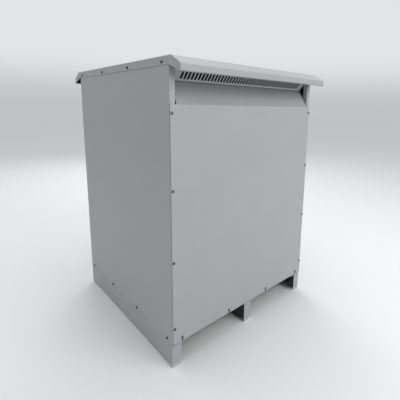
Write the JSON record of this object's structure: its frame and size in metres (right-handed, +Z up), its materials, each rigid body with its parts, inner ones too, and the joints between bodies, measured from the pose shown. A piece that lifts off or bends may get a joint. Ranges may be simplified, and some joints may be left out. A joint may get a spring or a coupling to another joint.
{
  "type": "power transformer",
  "caption": "Ventilated dry-type power transformer: grey sheet-metal enclosure on rails, hooded slotted vents front and rear, laminated core and windings inside.",
  "frame": {"origin": "on the floor, under the middle of the enclosure", "axes": "+Z up, -Y towards the front cover, +X to the right when facing the front cover"},
  "size_m": [0.866, 0.998, 1.2],
  "materials": {
    "cover_paint": "baked powder coat, satin, light grey",
    "panel_paint": "baked powder coat, satin, light grey",
    "roof_paint": "baked powder coat, satin, light grey",
    "vent_paint": "baked powder coat, satin, light grey",
    "rail_paint": "baked powder coat, satin, light grey",
    "frame_steel": "galvanised sheet",
    "core_steel": "varnished lamination edges",
    "low_voltage_varnish": "varnished insulation",
    "high_voltage_varnish": "varnished insulation",
    "clamp_paint": "dark grey paint",
    "rod_steel": "plated steel",
    "block_laminate": "glass laminate",
    "pad_rubber": "moulded rubber"
  },
  "bodies": {
    "root": {"base_member_front": "frame_steel", "base_member_rear": "frame_steel", "base_sill_left": "frame_steel", "base_sill_right": "frame_steel", "core": "core_steel", "front_cover": "cover_paint", "front_header": "frame_steel", "front_throat_panel": "vent_paint", "front_vent": "vent_paint", "high_voltage_winding_left": "high_voltage_varnish", "high_voltage_winding_middle": "high_voltage_varnish", "high_voltage_winding_right": "high_voltage_varnish", "isolation_pads": "pad_rubber", "low_voltage_winding_left": "low_voltage_varnish", "low_voltage_winding_middle": "low_voltage_varnish", "low_voltage_winding_right": "low_voltage_varnish", "lower_clamp_front": "clamp_paint", "lower_clamp_rear": "clamp_paint", "rail_left": "rail_paint", "rail_middle": "rail_paint", "rail_right": "rail_paint", "rear_cover": "cover_paint", "rear_header": "frame_steel", "rear_throat_panel": "vent_paint", "rear_vent": "vent_paint", "side_panel_left": "panel_paint", "side_panel_right": "panel_paint", "support_channel_front": "clamp_paint", "support_channel_rear": "clamp_paint", "tie_rods": "rod_steel", "top_cover": "roof_paint", "upper_clamp_front": "clamp_paint", "upper_clamp_rear": "clamp_paint", "winding_blocks_lower": "block_laminate", "winding_blocks_upper": "block_laminate"}
  },
  "joints": []
}
